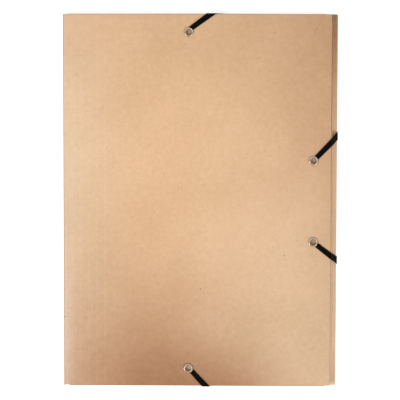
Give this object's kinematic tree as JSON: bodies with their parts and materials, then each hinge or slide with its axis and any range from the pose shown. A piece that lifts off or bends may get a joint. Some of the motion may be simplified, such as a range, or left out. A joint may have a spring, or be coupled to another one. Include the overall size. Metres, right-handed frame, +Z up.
{
  "type": "three-flap folder",
  "caption": "Kraft card folder for loose sheets: covers on a spine, folding flaps on the back cover, and flat elastics on eyelets that hold the front corners shut.",
  "frame": {"origin": "below the middle of the closed folder, on the surface that it lies on", "axes": "+Z up from the front cover to the back cover, +Y towards the top edge, +X from the spine to the opening"},
  "size_m": [0.2358, 0.3218, 0.0099],
  "materials": {
    "kraft_card": "uncoated recycled kraft card, matt, with fine fibres and a few dark specks",
    "nickel_plated_eyelet": "rolled sheet metal, bright nickel plate",
    "black_elastic": "flat woven elastic, matt black"
  },
  "bodies": {
    "front_cover": {"front_cover": "kraft_card"},
    "spine": {"spine": "kraft_card"},
    "back_cover": {"back_cover": "kraft_card", "eyelet_top": "nickel_plated_eyelet", "eyelet_bottom": "nickel_plated_eyelet", "eyelet_side_upper": "nickel_plated_eyelet", "eyelet_side_lower": "nickel_plated_eyelet"},
    "top_gusset": {"top_gusset": "kraft_card"},
    "bottom_gusset": {"bottom_gusset": "kraft_card"},
    "side_gusset": {"side_gusset": "kraft_card"},
    "top_flap": {"top_flap": "kraft_card"},
    "bottom_flap": {"bottom_flap": "kraft_card"},
    "side_flap": {"side_flap": "kraft_card"},
    "upper_elastic": {"upper_elastic": "black_elastic"},
    "lower_elastic": {"lower_elastic": "black_elastic"}
  },
  "joints": [
    {"name": "front_spine_fold", "type": "hinge", "parent": "front_cover", "child": "spine", "pos_m": [-0.11762, 0, 0.00115], "axis": [0, -1, 0], "range_deg": [0, 90]},
    {"name": "back_spine_fold", "type": "hinge", "parent": "spine", "child": "back_cover", "pos_m": [-0.11762, 0, 0.00835], "axis": [0, -1, 0], "range_deg": [0, 90]},
    {"name": "top_gusset_fold", "type": "hinge", "parent": "back_cover", "child": "top_gusset", "pos_m": [0, 0.1597, 0.00835], "axis": [1, 0, 0], "range_deg": [0, 90]},
    {"name": "top_flap_fold", "type": "hinge", "parent": "top_gusset", "child": "top_flap", "pos_m": [0, 0.1597, 0.00215], "axis": [1, 0, 0], "range_deg": [0, 90]},
    {"name": "bottom_gusset_fold", "type": "hinge", "parent": "back_cover", "child": "bottom_gusset", "pos_m": [0, -0.1597, 0.00835], "axis": [-1, 0, 0], "range_deg": [0, 90]},
    {"name": "bottom_flap_fold", "type": "hinge", "parent": "bottom_gusset", "child": "bottom_flap", "pos_m": [0, -0.1597, 0.00215], "axis": [-1, 0, 0], "range_deg": [0, 90]},
    {"name": "side_gusset_fold", "type": "hinge", "parent": "back_cover", "child": "side_gusset", "pos_m": [0.11177, 0, 0.00835], "axis": [0, -1, 0], "range_deg": [0, 90]},
    {"name": "side_flap_fold", "type": "hinge", "parent": "side_gusset", "child": "side_flap", "pos_m": [0.11177, 0, 0.00215], "axis": [0, -1, 0], "range_deg": [0, 90]},
    {"name": "upper_elastic_release", "type": "hinge", "parent": "back_cover", "child": "upper_elastic", "pos_m": [-0.01043, 0.1445, 0.0091], "axis": [0.6989, -0.7152, 0], "range_deg": [0, 180], "deforming": ["upper_elastic"]},
    {"name": "lower_elastic_release", "type": "hinge", "parent": "back_cover", "child": "lower_elastic", "pos_m": [-0.01043, -0.1445, 0.0091], "axis": [-0.6989, -0.7152, 0], "range_deg": [0, 180], "deforming": ["lower_elastic"]}
  ],
  "couplings": [
    {"joint": "back_spine_fold", "follows": "front_spine_fold", "ratio": 1},
    {"joint": "top_gusset_fold", "follows": "front_spine_fold", "ratio": 1},
    {"joint": "top_flap_fold", "follows": "front_spine_fold", "ratio": 1},
    {"joint": "bottom_gusset_fold", "follows": "front_spine_fold", "ratio": 1},
    {"joint": "bottom_flap_fold", "follows": "front_spine_fold", "ratio": 1},
    {"joint": "side_gusset_fold", "follows": "front_spine_fold", "ratio": 1},
    {"joint": "side_flap_fold", "follows": "front_spine_fold", "ratio": 1},
    {"joint": "upper_elastic_release", "follows": "front_spine_fold", "ratio": 2},
    {"joint": "lower_elastic_release", "follows": "front_spine_fold", "ratio": 2}
  ]
}
